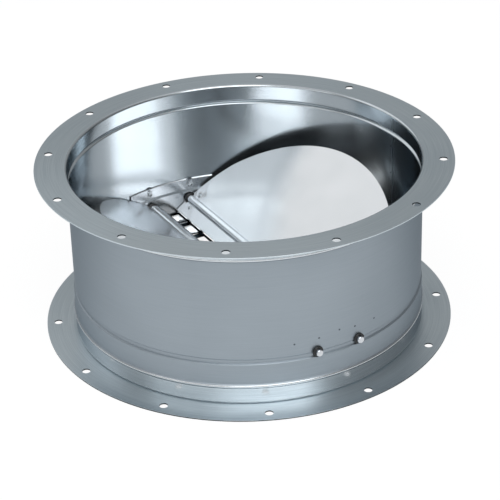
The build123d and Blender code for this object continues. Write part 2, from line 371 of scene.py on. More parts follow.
@dataclass(frozen=True)
class DuctSheet(SheetMetal):
    """Sheet that takes a painted-light colour on the side inside the duct, and a satin finish outside."""

    # Painted light: the colour of the side inside the duct, paler than the casing's satin outside
    inside_painted_light_colour: str = "#FFFFFF"
    inside_roughness: float = 0.3
    # A face is inside where its normal and its way out from the axis have a dot product below this
    inside_below: float = -50 * MM
    end_colour: str = "#FFFFFF"
    end_worn_colour: str = "#FFFFFF"
    end_roughness: float = 0.3
    end_length: float = 0.0
    # Dark colour of bare cut steel on hole walls, and painted contact shadow on the lower flange's rim
    sheared_and_shadow_colour: str = "#FFFFFF"
    # From this radius on, upright faces are sheared ones; the default of 1 m leaves a piece without
    cut_from: float = 1.0
    # The upper flange's rim, this wide, keeps the bright finish
    rim_band: float = 2 * MM

    def from_axis(self, tree: NodeTree) -> NodeSocket:
        """Lead from the duct's axis straight out to the place on the sheet.

        Args:
            tree: The material's node tree.

        Returns:
            The socket of a level vector.
        """
        place = add_node(tree, "ShaderNodeTexCoord").outputs[Coordinates.OBJECT.value]
        return add_node(
            tree, "ShaderNodeVectorMath", {"operation": "MULTIPLY"}, {0: place, 1: (1, 1, 0)},
        ).outputs["Vector"]

    def inside(self, tree: NodeTree) -> NodeSocket:
        """Find the side of the sheet that faces the duct's axis.

        Args:
            tree: The material's node tree.

        Returns:
            The socket of a mask that is 1 inside the duct and 0 outside.
        """
        normal = add_node(tree, "ShaderNodeTexCoord").outputs[Coordinates.NORMAL.value]
        outward = add_node(
            tree, "ShaderNodeVectorMath", {"operation": "DOT_PRODUCT"}, {0: self.from_axis(tree), 1: normal},
        ).outputs["Value"]
        return add_node(
            tree, "ShaderNodeMath", {"operation": "LESS_THAN"}, {0: outward, 1: self.inside_below},
        ).outputs[0]

    def base_colour(self, tree: NodeTree, worn: NodeSocket) -> NodeSocket:
        """Take the satin colour outside, the painted-light colour inside, a brighter one at the ends, and a
        dark one on cuts and on the painted contact shadow.

        Args:
            tree: The material's node tree.
            worn: A 0 to 1 pattern of wear.

        Returns:
            The socket of the colour.
        """
        colour = super().base_colour(tree, worn)
        burnished = add_node(
            tree, "ShaderNodeMix", {"data_type": "RGBA"},
            {0: worn, 6: linear(self.end_colour), 7: linear(self.end_worn_colour)},
        ).outputs[2]
        layers = (
            (self.ends(tree), burnished),
            (self.inside(tree), linear(self.inside_painted_light_colour)),
            (self.cuts_and_painted_shadow(tree), linear(self.sheared_and_shadow_colour)),
        )
        for mask, over in layers:
            colour = add_node(
                tree, "ShaderNodeMix", {"data_type": "RGBA"}, {0: mask, 6: colour, 7: over},
            ).outputs[2]
        return colour

    def base_roughness(self, tree: NodeTree) -> NodeSocket:
        """Take the satin roughness outside and the smoother ones inside and at the ends.

        Args:
            tree: The material's node tree.

        Returns:
            The socket of the roughness.
        """
        outside = add_node(
            tree, "ShaderNodeMix", {"data_type": "FLOAT"},
            {0: self.ends(tree), 2: self.roughness, 3: self.end_roughness},
        ).outputs[0]
        return add_node(
            tree, "ShaderNodeMix", {"data_type": "FLOAT"},
            {0: self.inside(tree), 2: outside, 3: self.inside_roughness},
        ).outputs[0]

    def cuts_and_painted_shadow(self, tree: NodeTree) -> NodeSocket:
        """Find the dark cut faces of a flange: its hole walls, of bare cut steel, and the lower flange's rim,
        painted dark as its contact shadow with the floor.

        Args:
            tree: The material's node tree.

        Returns:
            The socket of a mask that is 1 on a cut face of bare steel and on the painted contact shadow.
        """
        place = add_node(tree, "ShaderNodeTexCoord").outputs[Coordinates.OBJECT.value]
        height = add_node(tree, "ShaderNodeSeparateXYZ", None, {"Vector": place}).outputs["Z"]
        reach = add_node(
            tree, "ShaderNodeVectorMath", {"operation": "LENGTH"}, {0: self.from_axis(tree)},
        ).outputs["Value"]
        past_bend = add_node(
            tree, "ShaderNodeMath", {"operation": "GREATER_THAN"}, {0: reach, 1: self.cut_from},
        ).outputs[0]
        cut = add_node(
            tree, "ShaderNodeMath", {"operation": "MULTIPLY"}, {0: self.upright(tree), 1: past_bend},
        ).outputs[0]
        inner = add_node(
            tree, "ShaderNodeMath", {"operation": "LESS_THAN"}, {0: reach, 1: cad_box[1][0] - self.rim_band},
        ).outputs[0]
        # The lower flange's rim, next to the floor: painted contact shadow
        low = add_node(
            tree, "ShaderNodeMath", {"operation": "LESS_THAN"}, {0: height, 1: cad_box[1][2] / 2},
        ).outputs[0]
        darkened = add_node(tree, "ShaderNodeMath", {"operation": "MAXIMUM"}, {0: inner, 1: low}).outputs[0]
        return add_node(tree, "ShaderNodeMath", {"operation": "MULTIPLY"}, {0: cut, 1: darkened}).outputs[0]

    def ends(self, tree: NodeTree) -> NodeSocket:
        """Find the two ends of the duct, which the rollers burnish as they press the lap.

        Args:
            tree: The material's node tree.

        Returns:
            The socket of a mask that is 1 at both ends and 0 between them.
        """
        place = add_node(tree, "ShaderNodeTexCoord").outputs[Coordinates.OBJECT.value]
        height = add_node(tree, "ShaderNodeSeparateXYZ", None, {"Vector": place}).outputs["Z"]
        middle = (cad_box[0][2] + cad_box[1][2]) / 2
        from_middle = add_node(
            tree, "ShaderNodeMath", {"operation": "SUBTRACT"}, {0: height, 1: middle},
        ).outputs[0]
        reach = add_node(tree, "ShaderNodeMath", {"operation": "ABSOLUTE"}, {0: from_middle}).outputs[0]
        return add_node(
            tree, "ShaderNodeMath", {"operation": "GREATER_THAN"},
            {0: reach, 1: cad_box[1][2] - middle - self.end_length},
        ).outputs[0]


@dataclass(frozen=True)
class PaintedLightStrip(SheetMetal):
    """Strip with painted shade on its flat faces and a painted highlight on its upright faces."""

    painted_highlight_colour: str = "#FFFFFF"

    def base_colour(self, tree: NodeTree, worn: NodeSocket) -> NodeSocket:
        """Take the painted-shade colour on flat faces and the painted-highlight colour on upright faces.

        Args:
            tree: The material's node tree.
            worn: A 0 to 1 pattern of wear.

        Returns:
            The socket of the colour.
        """
        darkened = super().base_colour(tree, worn)
        return add_node(
            tree, "ShaderNodeMix", {"data_type": "RGBA"},
            {0: self.upright(tree), 6: darkened, 7: linear(self.painted_highlight_colour)},
        ).outputs[2]


@dataclass(frozen=True)
class MouldedPlastic:
    """Moulded plastic: a soft gloss over a fine matt grain."""

    name: str
    colour: str
    roughness: float
    ior: float
    grit_mm: float
    grit_depth: float
    grit_height_mm: float = 0.05
    roughness_spread: float = 0.08

    def material(self) -> Material:
        """Build the node material.

        Returns:
            The finished material.
        """
        made = new_material(self.name)
        tree = made.node_tree
        place = add_node(tree, "ShaderNodeTexCoord").outputs[Coordinates.OBJECT.value]
        grit = add_node(
            tree, "ShaderNodeTexNoise", {"noise_dimensions": "3D"},
            {"Vector": place, "Scale": 1 / (self.grit_mm * MM), **GRIT_NOISE},
        ).outputs["Fac"]
        rough = add_node(
            tree, "ShaderNodeMapRange", None,
            {"Value": grit, "To Min": self.roughness - self.roughness_spread,
             "To Max": self.roughness + self.roughness_spread},
        ).outputs["Result"]
        bump = add_node(
            tree, "ShaderNodeBump", None,
            {"Height": grit, "Strength": self.grit_depth, "Distance": self.grit_height_mm * MM},
        ).outputs["Normal"]
        shader = add_node(
            tree, "ShaderNodeBsdfPrincipled", None,
            {"Base Color": linear(self.colour), "Roughness": rough, "IOR": self.ior, "Normal": bump},
        )
        add_node(tree, "ShaderNodeOutputMaterial", None, {"Surface": shader.outputs["BSDF"]})
        return made


# Skin-passed galvanised steel, rolled round the duct: a smooth blue-grey satin with no spangle
# outside, and a near mirror inside, under a paler colour painted there as light.
CASING_SHEET = DuctSheet(
    name="galvanised_steel_rolled", colour="#A7B1B9", worn_colour="#A0AAB2", edge_tint="#A8AEB3",
    roughness=0.46, anisotropy=0.4, grain=Grain.AROUND, grain_width_mm=0.6, grain_length_mm=60,
    grain_depth=0.08, cloud_mm=90, cloud_depth=0.04, inside_painted_light_colour="#C9D1D6", inside_roughness=0.14,
    line_contrast=0.5, end_colour="#E6EAED", end_worn_colour="#BFC6CB", end_roughness=0.18,
    end_length=24 * MM,
)
# Galvanised angle rolled into a ring: the rollers leave brighter lines along it, and the punch and
# the shears leave dark cuts; the lower flange's rim takes the same dark as painted contact shadow, and the
# inside takes the painted-light colour.
FLANGE_RING = DuctSheet(
    name="galvanised_steel_roll_formed", colour="#DBE5EA", worn_colour="#BFCBD2", edge_tint="#DAE2E7",
    roughness=0.30, anisotropy=0.5, grain=Grain.AROUND, grain_width_mm=0.8, grain_length_mm=90,
    grain_depth=0.12, cloud_mm=60, cloud_depth=0.06, inside_painted_light_colour="#C9D1D6", inside_roughness=0.12,
    line_contrast=0.5, sheared_and_shadow_colour="#30363A", cut_from=206 * MM,
)
# Galvanised strip, sheared and folded: nearly as bright as the casing's inside.
FITTING_STRIP = SheetMetal(
    name="galvanised_steel_pressed", colour="#CDD3D8", worn_colour="#B9C0C6", edge_tint="#D2D7DB",
    roughness=0.16, anisotropy=0.3, grain=Grain.ALONG_X, grain_width_mm=0.7, grain_length_mm=30,
    grain_depth=0.08, cloud_mm=25, cloud_depth=0.06,
)
# Zinc strip with painted light: dark grey on its flat faces as painted shade, so the bar's rungs read as dark
# bars, and near white on its upright faces as painted highlight.
BAR_STRIP = PaintedLightStrip(
    name="galvanised_steel_painted_light", colour="#43494D", worn_colour="#363C40", edge_tint="#A0A6AA",
    roughness=0.18, anisotropy=0.2, grain=Grain.ALONG_X, grain_width_mm=0.7, grain_length_mm=30,
    grain_depth=0.06, cloud_mm=12, cloud_depth=0.04, painted_highlight_colour="#EEF1F3", upright_within=0.7,
)
# Mill-finish aluminium sheet: pale and bright, with rolling lines along the shafts. Its oxide skin
# scatters a little of the light, so it isn't wholly metallic and never turns black.
BLADE_SHEET = SheetMetal(
    name="aluminium_mill_finish", colour="#E0E3E6", worn_colour="#D6DADD", edge_tint="#E4E7EA",
    roughness=0.20, anisotropy=0.2, grain=Grain.ALONG_X, grain_width_mm=1.6, grain_length_mm=120,
    grain_depth=0.03, cloud_mm=45, cloud_depth=0.06, metallic=0.85,
)
# Bright zinc-plated bar: drawn, so its lines run along the shaft.
SHAFT_BAR = SheetMetal(
    name="zinc_plated_steel_drawn", colour="#D9DCE0", worn_colour="#C9CDD2", edge_tint="#E0E3E6",
    roughness=0.20, anisotropy=0.3, grain=Grain.ALONG_X, grain_width_mm=0.3, grain_length_mm=20,
    grain_depth=0.05, cloud_mm=10, cloud_depth=0.04,
)
# Aluminium rivets: headed cold, so the heads are bright and even.
RIVET_METAL = SheetMetal(
    name="aluminium_cold_headed", colour="#C9CDD1", worn_colour="#B2B7BC", edge_tint="#D0D4D8",
    roughness=0.30, anisotropy=0.0, grain=Grain.NONE, grain_width_mm=0.5, grain_length_mm=0.5,
    grain_depth=0.05, cloud_mm=3, cloud_depth=0.05,
)
# Zinc burnt off by the weld's heat: dull and dark, so each spot reads as a small dot.
WELD_SPOT = SheetMetal(
    name="galvanised_steel_spot_welded", colour="#6C7479", worn_colour="#565D62", edge_tint="#868D92",
    roughness=0.45, anisotropy=0.0, grain=Grain.NONE, grain_width_mm=0.5, grain_length_mm=0.5,
    grain_depth=0.05, cloud_mm=2, cloud_depth=0.05,
)
# Zinc splashed and frozen round the electrode: bright, so its ridges glint.
WELD_STAR = SheetMetal(
    name="zinc_splashed", colour="#CDD2D6", worn_colour="#AAB1B6", edge_tint="#D6DADD",
    roughness=0.14, anisotropy=0.0, grain=Grain.NONE, grain_width_mm=0.8, grain_length_mm=0.8,
    grain_depth=0.1, cloud_mm=4, cloud_depth=0.1,
)
# Moulded polyamide: near black, with the soft gloss of a tool-ground mould.
BUSH_PLASTIC = MouldedPlastic(
    name="polyamide_moulded", colour="#17181A", roughness=0.42, ior=1.53, grit_mm=0.4, grit_depth=0.3,
)


@dataclass(frozen=True)
class Bend:
    """A corner of a section's middle line: radius from the axis, height, and bend radius."""

    reach: float
    height: float
    radius: float = 0.0


@dataclass(frozen=True)
class SheetSection:
    """The section of a rolled ring: an even sheet about a bent middle line, with sheared ends."""

    bends: list[Bend]
    sheet: float
    sheared_edge: float = 0.3 * MM
    bend_step: float = math.radians(9)
    edge_steps: int = 3

    def middle_line(self) -> list[tuple[Vector, Vector]]:
        """Follow the middle line round its bends.

        Returns:
            Points with the direction of the line at each.
        """
        corners = [Vector((bend.reach, bend.height)) for bend in self.bends]
        line = [(corners[0], (corners[1] - corners[0]).normalized())]
        for before, bend, corner, after in zip(corners, self.bends[1:], corners[1:], corners[2:]):
            arriving, leaving = (corner - before).normalized(), (after - corner).normalized()
            turn = math.atan2(arriving.cross(leaving), arriving.dot(leaving))
            side = math.copysign(1.0, turn)
            start = corner - arriving * bend.radius * math.tan(abs(turn) / 2)
            centre = start + Vector((-arriving.y, arriving.x)) * bend.radius * side
            steps = max(2, math.ceil(abs(turn) / self.bend_step))
            for step in range(steps + 1):
                along = Matrix.Rotation(turn * step / steps, 2) @ arriving
                line.append((centre + Vector((along.y, -along.x)) * bend.radius * side, along))
        line.append((corners[-1], (corners[-1] - corners[-2]).normalized()))
        return line

    def sheared_end(self, point: Vector, outward: Vector, across: Vector) -> list[Vector]:
        """Round one corner of a sheared end, from the sheet's side to its end face.

        Args:
            point: Where the middle line ends.
            outward: The way that the end faces.
            across: The way from the middle line to the sheet's side.

        Returns:
            The points of the rounding.
        """
        half, edge = self.sheet / 2, self.sheared_edge
        turns = [math.pi / 2 * step / self.edge_steps for step in range(self.edge_steps + 1)]
        return [
            point - outward * edge * (1 - math.sin(turn)) + across * (half - edge * (1 - math.cos(turn)))
            for turn in turns
        ]

    def outline(self) -> list[Vector]:
        """Draw both sides of the sheet and its two ends.

        Returns:
            The points of the closed section.
        """
        line = self.middle_line()
        left, right = (
            [point + Vector((-along.y, along.x)) * side * self.sheet / 2 for point, along in line[1:-1]]
            for side in (1, -1)
        )
        (first, start), (last, end) = line[0], line[-1]
        left_first, left_last = Vector((-start.y, start.x)), Vector((-end.y, end.x))
        return [
            *reversed(self.sheared_end(first, -start, left_first)),
            *left,
            *self.sheared_end(last, end, left_last),
            *reversed(self.sheared_end(last, end, -left_last)),
            *reversed(right),
            *self.sheared_end(first, -start, -left_first),
        ]


@dataclass(frozen=True)
class Punch:
    """A round hole through a ring: its centre, its axis and its size."""

    centre: Vector
    axis: Vector
    radius: float
    length: float


@dataclass
class RolledRing:
    """A ring rolled from sheet, with punched holes and a butt seam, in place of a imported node."""

    node: str
    slot: str
    section: SheetSection
    punches: list[Punch]
    seams: list[tuple[Vector, Vector]]
    turns: int = 256
    hole_sides: int = 40
    crease: float = math.radians(35)
    face_weight: int = 80

    def build(self) -> None:
        """Roll the section round the axis and cut the holes and seams."""
        outline = self.section.outline()
        shape = bmesh.new()
        rings = []
        for turn in range(self.turns):
            angle = 2 * math.pi * turn / self.turns
            rings.append([
                shape.verts.new((point.x * math.cos(angle), point.x * math.sin(angle), point.y))
                for point in outline
            ])
        for turn, ring in enumerate(rings):
            following = rings[(turn + 1) % self.turns]
            for place in range(len(outline)):
                beyond = (place + 1) % len(outline)
                shape.faces.new((ring[place], following[place], following[beyond], ring[beyond]))
        bmesh.ops.recalc_face_normals(shape, faces=shape.faces)
        piece = from_shape(f"{self.node}_rolled", shape)
        self.cut(piece)
        piece.data.shade_smooth()
        piece.data.set_sharp_from_angle(angle=self.crease)
        evened = piece.modifiers.new("evened_normals", "WEIGHTED_NORMAL")
        evened.keep_sharp = True
        evened.weight = self.face_weight
        piece.data.materials.append(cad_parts[self.node].material_slots[0].material)
        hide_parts(self.node)
        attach(piece, "casing")
        log.info("rolled %s with %d holes", self.node, len(self.punches))

    def cut(self, piece: Object) -> None:
        """Cut the punched holes and the seams out of the ring.

        Args:
            piece: The rolled ring, whose mesh is replaced by the cut one.
        """
        tools = bmesh.new()
        for punch in self.punches:
            turn = punch.axis.to_track_quat("Z", "Y").to_matrix().to_4x4()
            bmesh.ops.create_cone(
                tools, cap_ends=True, segments=self.hole_sides, radius1=punch.radius, radius2=punch.radius,
                depth=punch.length, matrix=Matrix.Translation(punch.centre) @ turn,
            )
        for middle, size in self.seams:
            bmesh.ops.create_cube(
                tools, size=1.0, matrix=Matrix.Translation(middle) @ Matrix.Diagonal((*size, 1.0)),
            )
        cutter = from_shape(f"{self.node}_cutter", tools)
        cutting = piece.modifiers.new("cutting", "BOOLEAN")
        cutting.operation = "DIFFERENCE"
        cutting.solver = "EXACT"
        cutting.object = cutter
        reading = bpy.context.evaluated_depsgraph_get()
        finished = bpy.data.meshes.new_from_object(piece.evaluated_get(reading))
        piece.modifiers.clear()
        plain, piece.data = piece.data, finished
        bpy.data.meshes.remove(plain)
        bpy.data.objects.remove(cutter)


@dataclass
class Shell:
    """The casing tube and its two flanges, rolled with the bends that rollers leave."""

    tube_sheet: float = 1.5 * MM
    flange_sheet: float = 1.5 * MM
    plate_sheet: float = 1.5 * MM
    flange_width: float = 37.0 * MM
    flange_bend: float = 3.0 * MM
    lap_clearance: float = 0.1 * MM
    bead_width: float = 5.0 * MM
    bead_from_collar: float = 1.0 * MM
    bead_height: float = 1.6 * MM
    bead_bend: float = 1.3 * MM
    roller_bend: float = 1.0 * MM
    lower_band_step: float = 1.0 * MM
    groove_depth: float = 1.2 * MM
    groove_width: float = 7.0 * MM
    groove_flat: float = 4.8 * MM
    shaft_height: float = 56.0 * MM
    shaft_offset: float = 26.0 * MM
    bush_hole_radius: float = 5.25 * MM
    bolt_edge_distance: float = 13.0 * MM
    bolt_hole_radius: float = 4.75 * MM
    bolt_holes: int = 12
    # Where each flange's first hole stands, in degrees from +X towards +Y
    upper_hole_turn: float = -4.0
    lower_hole_turn: float = 6.3
    seam_width: float = 0.8 * MM
    seam_depth: float = 0.4 * MM
    seam_clearance: float = 3.0 * MM
    rim: float = field(init=False)
    top: float = field(init=False)
    collar: float = field(init=False)
    tube_end: float = field(init=False)
    bore: float = field(init=False)

    def __post_init__(self) -> None:
        """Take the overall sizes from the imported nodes."""
        low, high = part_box("upper_flange")
        self.rim = min(high[0], high[1], -low[0], -low[1])
        self.top = high[2]
        self.collar = high[2] - low[2]
        tube_low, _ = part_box("casing_tube")
        self.tube_end = tube_low[2]
        self.bore = high[0] - self.flange_width

    def build(self) -> None:
        """Roll the tube and both flanges."""
        self.tube().build()
        self.flange("upper_flange", self.top, -1, self.upper_hole_turn).build()
        self.flange("lower_flange", 0.0, 1, self.lower_hole_turn).build()

    def tube(self) -> RolledRing:
        """Lay out the tube: two beads, the lower band and the groove above it.

        Returns:
            The ring, ready to build.
        """
        main = self.bore + self.tube_sheet / 2
        band = main + self.lower_band_step
        groove = main - self.groove_depth
        end = self.bore + self.flange_sheet + self.lap_clearance + self.tube_sheet / 2
        crest = end + self.bead_height
        half = self.bead_width / 2
        lower_bead = self.collar + self.bead_from_collar + half
        upper_bead = self.top - lower_bead
        slope = (self.groove_width - self.groove_flat) / 2
        groove_top, groove_foot = self.shaft_height, self.shaft_height - self.groove_width
        bend = self.roller_bend
        section = SheetSection([
            Bend(end, self.tube_end),
            Bend(end, lower_bead - half, bend),
            Bend(crest, lower_bead, self.bead_bend),
            Bend(band, lower_bead + half, bend),
            Bend(band, groove_foot, bend),
            Bend(groove, groove_foot + slope, bend),
            Bend(groove, groove_top - slope, bend),
            Bend(main, groove_top, bend),
            Bend(main, upper_bead - half, bend),
            Bend(crest, upper_bead, self.bead_bend),
            Bend(end, upper_bead + half, bend),
            Bend(end, self.top - self.tube_end),
        ], self.tube_sheet)
        punches = [
            Punch(Vector((0, side * self.shaft_offset, self.shaft_height)), Vector((1, 0, 0)),
                  self.bush_hole_radius, 2 * self.rim)
            for side in (-1, 1)
        ]
        low, high = groove_top + self.seam_clearance, upper_bead - half - self.seam_clearance
        faces = (main - self.tube_sheet / 2, main + self.tube_sheet / 2)
        seams = [
            (Vector((0, face, (low + high) / 2)), Vector((self.seam_width, 2 * self.seam_depth, high - low)))
            for face in faces
        ]
        return RolledRing("casing_tube", "galvanised_casing", section, punches, seams)

    def flange(self, name: str, face: float, inward: int, hole_turn: float) -> RolledRing:
        """Lay out a flange: a flat ring with holes, bent into a collar along the tube.

        Args:
            name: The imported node.
            face: Height of the flange's face.
            inward: 1 where the collar points up, -1 where it points down.
            hole_turn: Where the first hole stands, in degrees.

        Returns:
            The ring, ready to build.
        """
        half = self.flange_sheet / 2
        leg = face + inward * half
        collar_end = face + inward * self.collar
        section = SheetSection([
            Bend(self.rim, leg),
            Bend(self.bore + half, leg, self.flange_bend - half),
            Bend(self.bore + half, collar_end),
        ], self.flange_sheet)
        circle = self.bore + self.flange_width - self.bolt_edge_distance
        punches = []
        for hole in range(self.bolt_holes):
            angle = math.radians(hole_turn) + 2 * math.pi * hole / self.bolt_holes
            centre = Vector((circle * math.cos(angle), circle * math.sin(angle), leg))
            punches.append(Punch(centre, Vector((0, 0, 1)), self.bolt_hole_radius, 4 * self.flange_sheet))
        depth = self.collar - self.flange_bend
        seam = (Vector((0, self.bore + half, collar_end - inward * depth / 2)),
                Vector((self.seam_width, 2 * self.flange_sheet, depth)))
        return RolledRing(name, "galvanised_flange", section, punches, [seam])


@dataclass(frozen=True)
class WeldMark:
    """The trace of one spot weld on the duct's wall: a low dome, with spatter arms where it is large."""

    azimuth: float
    height: float
    reach: float = 1.2 * MM
    proud: float = 0.35 * MM
    arms: int = 0


@dataclass
class WeldMarks:
    """The spot welds that hold the bearing plates and the seam, seen outside and inside the wall."""

    wall_outside: float
    wall_inside: float
    plate_face: float
    sunk: float = 0.05 * MM
    rings: int = 14
    spokes: int = 60
    # The row over the shafts: degrees round the duct, and millimetres above or below the row's height
    plate_height: float = 72 * MM
    plate_turns: tuple[float, ...] = (-14.8, -6.8, 0.3, 6.1, 14.1)
    plate_scatter: tuple[float, ...] = (-2.3, -0.3, 3.1, 0.4, -0.7)
    star_turn: float = 8.0
    star_height: float = 76 * MM
    star_reach: float = 7.0 * MM
    star_proud: float = 0.9 * MM
    star_arms: tuple[int, int] = (5, 6)
    # A star is a steep core with ridges running out from it, turned by this many radians a mark
    core_share: float = 0.55
    core_power: int = 6
    ridge_share: float = 0.45
    ridge_power: float = 0.7
    turn_step: float = 0.9
    seam_turn: float = 91.1
    seam_spots: tuple[float, ...] = (90 * MM, 125 * MM, 160 * MM)

    def build(self) -> None:
        """Lay the marks outside and inside the wall."""
        plate_marks = [
            WeldMark(facing + turn, self.plate_height + scatter * MM)
            for facing in (0, 180)
            for turn, scatter in zip(self.plate_turns, self.plate_scatter)
        ]
        stars = [
            WeldMark(facing + side * self.star_turn, self.star_height, self.star_reach, self.star_proud, arms)
            for facing in (0, 180)
            for side, arms in zip((-1, 1), self.star_arms)
        ]
        seam = [WeldMark(self.seam_turn, height) for height in self.seam_spots]
        self.lay("weld_marks_outside", [*plate_marks, *seam], self.wall_outside, 1, WELD_SPOT)
        self.lay("weld_marks_seam", seam, self.wall_inside, -1, WELD_SPOT)
        self.lay("weld_stars", stars, self.plate_face, -1, WELD_STAR)

    def lay(self, name: str, marks: list[WeldMark], wall: float, outward: int, finish: SheetMetal) -> None:
        """Build marks on one side of the wall.

        Args:
            name: The piece's name.
            marks: The marks.
            wall: Radius of the wall's side.
            outward: 1 where the marks stand outwards, -1 where they stand inwards.
            finish: Their metal.
        """
        shape = bmesh.new()
        for number, mark in enumerate(marks):
            self.dome(shape, mark, wall, outward, self.turn_step * number)
        bmesh.ops.recalc_face_normals(shape, faces=shape.faces)
        piece = from_shape(name, shape)
        piece.data.shade_smooth()
        piece.data.materials.append(finish.material())
        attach(piece, "casing")
        log.info("laid %d marks of %s", len(marks), name)

    def dome(self, shape: bmesh.types.BMesh, mark: WeldMark, wall: float, outward: int, phase: float) -> None:
        """Add one mark, laid on the round wall, its rim a little under the surface.

        Args:
            shape: The shape that takes the mark.
            mark: Its place and size.
            wall: Radius of the wall's side.
            outward: 1 where the mark stands outwards, -1 where it stands inwards.
            phase: How far its arms are turned, in radians.
        """
        def place(share: float, angle: float) -> Vector:
            """Find a point of the mark's surface.

            Args:
                share: How far out it lies, as a share of the mark's reach.
                angle: Where it lies round the mark's middle.

            Returns:
                The point.
            """
            out = share * mark.reach
            swell = math.cos(share * math.pi / 2)
            if mark.arms:
                arm = max(0.0, math.cos(mark.arms * angle + phase)) ** 2
                ridge = arm * math.sin(math.pi * share) ** self.ridge_power * (1 - share)
                swell = self.core_share * swell ** self.core_power + self.ridge_share * ridge
            lift = mark.proud * swell - self.sunk
            turn = math.radians(mark.azimuth) + out * math.cos(angle) / wall
            radius = wall + outward * lift
            height = mark.height + out * math.sin(angle)
            return Vector((radius * math.cos(turn), radius * math.sin(turn), height))

        middle = shape.verts.new(place(0.0, 0.0))
        before = None
        for ring in range(1, self.rings + 1):
            circle = [
                shape.verts.new(place(ring / self.rings, 2 * math.pi * spoke / self.spokes))
                for spoke in range(self.spokes)
            ]
            for spoke in range(self.spokes):
                beyond = (spoke + 1) % self.spokes
                if before is None:
                    shape.faces.new((middle, circle[spoke], circle[beyond]))
                else:
                    shape.faces.new((before[spoke], circle[spoke], circle[beyond], before[beyond]))
            before = circle
        shape.faces.new(reversed(before))


@dataclass
class Damper:
    """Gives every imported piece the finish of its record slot, or one of its own."""

    own_finishes: dict[str, SheetMetal] = field(default_factory=lambda: {"centre_bar": BAR_STRIP})
    finishes: dict[str, SheetMetal | MouldedPlastic] = field(default_factory=lambda: {
        "galvanised_casing": CASING_SHEET,
        "galvanised_flange": FLANGE_RING,
        "galvanised_fittings": FITTING_STRIP,
        "aluminium_blade": BLADE_SHEET,
        "plated_shaft": SHAFT_BAR,
        "rivet": RIVET_METAL,
        "black_bush": BUSH_PLASTIC,
    })

    def dress(self) -> None:
        """Assign each node its own material, or the one that its slot names."""
        made = {slot: finish.material() for slot, finish in self.finishes.items()}
        own = {name: finish.material() for name, finish in self.own_finishes.items()}
        for name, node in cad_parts.items():
            for slot in node.material_slots:
                slot.material = own.get(name) or made[slot.material.name.split(".")[0]]
            log.info("dressed %s", name)


@dataclass
class StudioCamera:
    """The camera of the photograph, with its lens for a 36 mm wide sensor."""

    lens_mm: float = 133.34
    sensor_mm: float = 36.0
    azimuth: float = -28.53
    elevation: float = 28.74
    roll: float = -1.75
    distance: float = 2.186
    right_of_axis: float = 1.3 * MM
    above_axis: float = 69.6 * MM
    nearest: float = 0.05
    farthest: float = 50.0

    def build(self) -> None:
        """Make the camera and give it to the scene."""
        azimuth = math.radians(self.azimuth)
        back = toward(self.azimuth, self.elevation)
        level_right = Vector((-math.sin(azimuth), math.cos(azimuth), 0.0))
        level_up = back.cross(level_right)
        tilt = Matrix.Rotation(math.radians(self.roll), 3, back)
        right, up = tilt @ level_right, tilt @ level_up
        place = back * self.distance + up * self.above_axis + right * self.right_of_axis
        data = bpy.data.cameras.new("studio_camera")
        data.sensor_width = self.sensor_mm
        data.lens = self.lens_mm
        data.clip_start, data.clip_end = self.nearest, self.farthest
        camera = into_scene("studio_camera", data)
        turn = Matrix((right, up, back)).transposed().to_4x4()
        camera.matrix_world = Matrix.Translation(place) @ turn
        bpy.context.scene.camera = camera


@dataclass
class SoftBox:
    """A square or oblong soft box that looks at the damper."""

    name: str
    azimuth: float
    elevation: float
    width: float
    height: float
    radiance: float
    distance: float = 3.0
    aim_height: float = 0.1

    def build(self) -> None:
        """Make the lamp, turned to the middle of the damper."""
        away = toward(self.azimuth, self.elevation)
        data = bpy.data.lights.new(self.name, "AREA")
        data.shape = "RECTANGLE"
        data.size, data.size_y = self.width, self.height
        data.energy = self.radiance * math.pi * self.width * self.height
        lamp = into_scene(self.name, data)
        lamp.location = away * self.distance + Vector((0, 0, self.aim_height))
        lamp.rotation_euler = away.to_track_quat("Z", "Y").to_euler()


@dataclass(frozen=True)
class Patch:
    """A soft bright or dark patch on the studio's walls."""

    azimuth: float
    elevation: float
    full_angle: float
    none_angle: float
    level: float

    def strength(self, tree: NodeTree, direction: NodeSocket) -> NodeSocket:
        """Work out what the patch adds in a direction.

        Args:
            tree: The world's node tree.
            direction: The direction looked in.

        Returns:
            The socket of the added strength.
        """
        nearness = add_node(
            tree, "ShaderNodeVectorMath", {"operation": "DOT_PRODUCT"},
            {0: direction, 1: toward(self.azimuth, self.elevation)},
        ).outputs["Value"]
        none, full = (math.cos(math.radians(angle)) for angle in (self.none_angle, self.full_angle))
        return add_node(
            tree, "ShaderNodeMapRange", {"interpolation_type": "SMOOTHSTEP"},
            {"Value": nearness, "From Min": none, "From Max": full, "To Min": 0.0, "To Max": self.level},
        ).outputs["Result"]


@dataclass(frozen=True)
class PaintedLightCard:
    """A small round card of painted light on the floor inside the duct: it glows, and only the metal sees it.
    """

    middle: tuple[float, float, float]
    radius: float
    level: float

    def mask(self, tree: NodeTree, place: NodeSocket) -> NodeSocket:
        """Find the card on the floor.

        Args:
            tree: The floor's node tree.
            place: The object coordinates of the floor.

        Returns:
            The socket of a mask that is 1 on the card.
        """
        away = add_node(
            tree, "ShaderNodeVectorMath", {"operation": "DISTANCE"}, {0: place, 1: self.middle},
        ).outputs["Value"]
        return add_node(
            tree, "ShaderNodeMath", {"operation": "LESS_THAN"}, {0: away, 1: self.radius},
        ).outputs[0]


